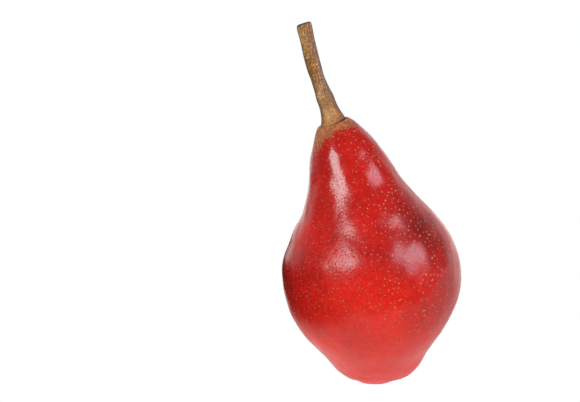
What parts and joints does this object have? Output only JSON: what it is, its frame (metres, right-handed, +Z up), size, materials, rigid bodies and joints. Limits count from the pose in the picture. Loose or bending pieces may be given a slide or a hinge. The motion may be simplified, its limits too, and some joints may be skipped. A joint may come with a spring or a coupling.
{
  "type": "pear",
  "caption": "Whole ripe red pear with a long curved woody stem and a dried calyx, standing on a small flat spot at its calyx end.",
  "frame": {"origin": "middle of the footprint of the pear's box, on the surface that it stands on", "axes": "+Z up from the calyx end to the stem; -Y is the side seen in the picture; the neck and stem lean towards -X"},
  "size_m": [0.0668, 0.066, 0.134],
  "materials": {
    "skin": "waxy red pear skin with pale lenticels and a russet collar",
    "stem": "dry brown woody stem, lightly furrowed",
    "calyx": "dried blackish-brown sepals and stamens"
  },
  "bodies": {
    "root": {"fruit": "skin", "stem": "stem", "calyx": "calyx"}
  },
  "joints": []
}
